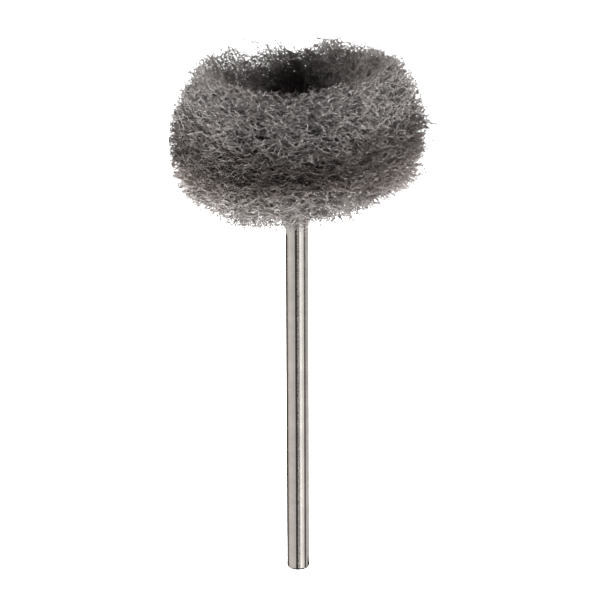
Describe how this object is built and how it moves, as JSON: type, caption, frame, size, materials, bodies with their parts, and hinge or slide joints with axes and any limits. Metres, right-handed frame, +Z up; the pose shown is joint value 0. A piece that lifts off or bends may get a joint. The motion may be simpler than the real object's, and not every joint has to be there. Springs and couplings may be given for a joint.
{
  "type": "polishing brush",
  "caption": "Fleece polishing brush: two thick grey non-woven web discs clamped by a screw and washer on a slim plain steel mandrel.",
  "frame": {"origin": "centre of the brush's bounding box in x and y, at the height of the bench that it lies on", "axes": "+Z up from the bench; the mandrel runs along Y, its free end towards -Y and the fleece head towards +Y, with its axis raised about 14 degrees towards the head; +X is across the brush"},
  "size_m": [0.0256, 0.0548, 0.0252],
  "materials": {
    "satin_steel": "satin ground steel with fine grain along the pin",
    "bright_steel": "bright turned steel",
    "upper_grey_web": "open non-woven web of crimped grey nylon fibres",
    "lower_grey_web": "open non-woven web of crimped grey nylon fibres"
  },
  "bodies": {
    "root": {"mandrel": "satin_steel", "clamp_washer": "bright_steel", "clamp_screw": "bright_steel", "upper_fleece_pad": "upper_grey_web", "lower_fleece_pad": "lower_grey_web"}
  },
  "joints": []
}
